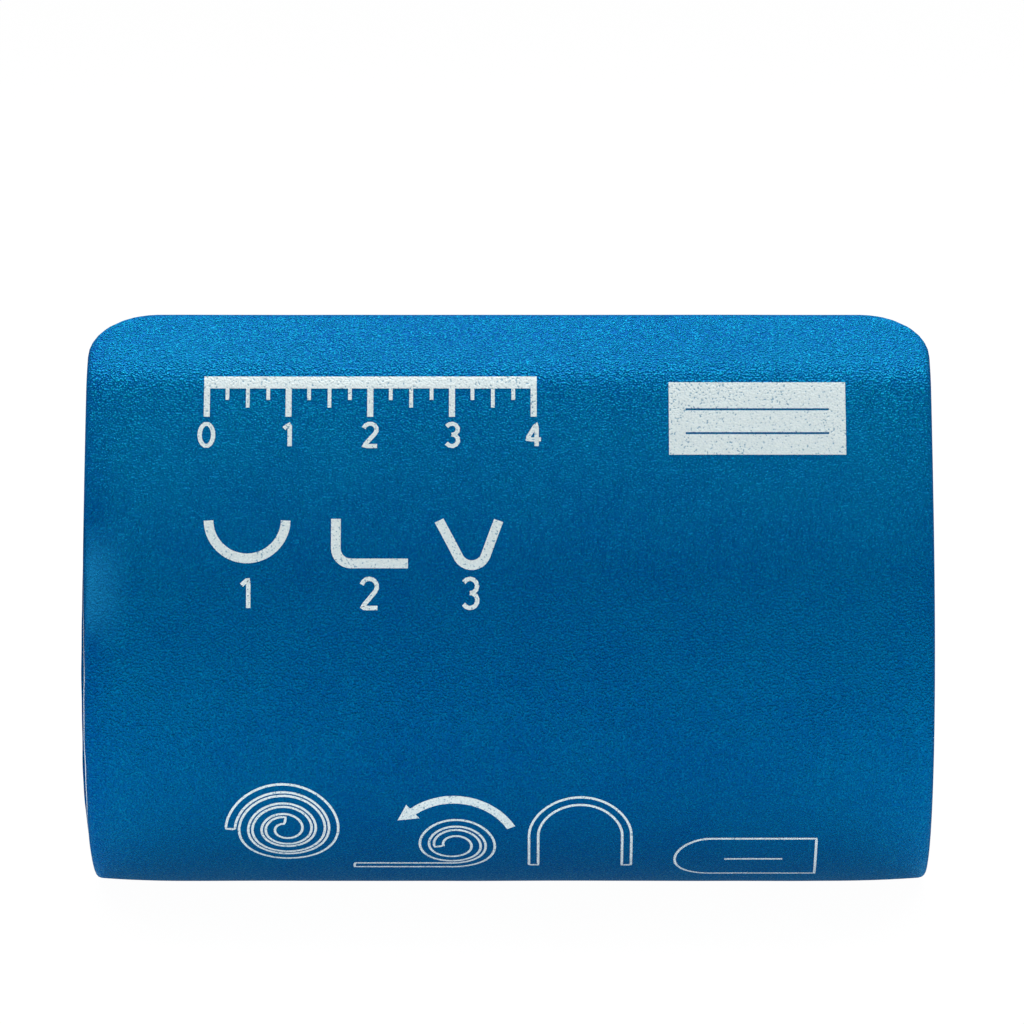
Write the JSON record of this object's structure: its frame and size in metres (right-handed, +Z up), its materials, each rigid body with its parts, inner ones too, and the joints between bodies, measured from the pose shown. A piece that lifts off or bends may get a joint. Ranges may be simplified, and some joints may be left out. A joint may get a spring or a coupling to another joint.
{
  "type": "rolled padded splint",
  "caption": "Mouldable limb splint: a soft aluminium sheet between two foam pads, rolled up on its side with its free outer end standing up.",
  "frame": {"origin": "middle of the flat on which the roll rests", "axes": "+Z up, +X across the strip along the axis of the roll, -Y towards the side where the free end stands up"},
  "size_m": [0.1016, 0.0529, 0.069],
  "materials": {
    "blue_foam": "closed-cell foam with a fine pebbled skin, satin",
    "soft_aluminium": "plain rolled sheet, dull, seen at its cut edge only",
    "white_print": "thin matt ink on the foam"
  },
  "bodies": {
    "root": {"outer_pad": "blue_foam", "core_sheet": "soft_aluminium", "inner_pad": "blue_foam"}
  },
  "joints": []
}
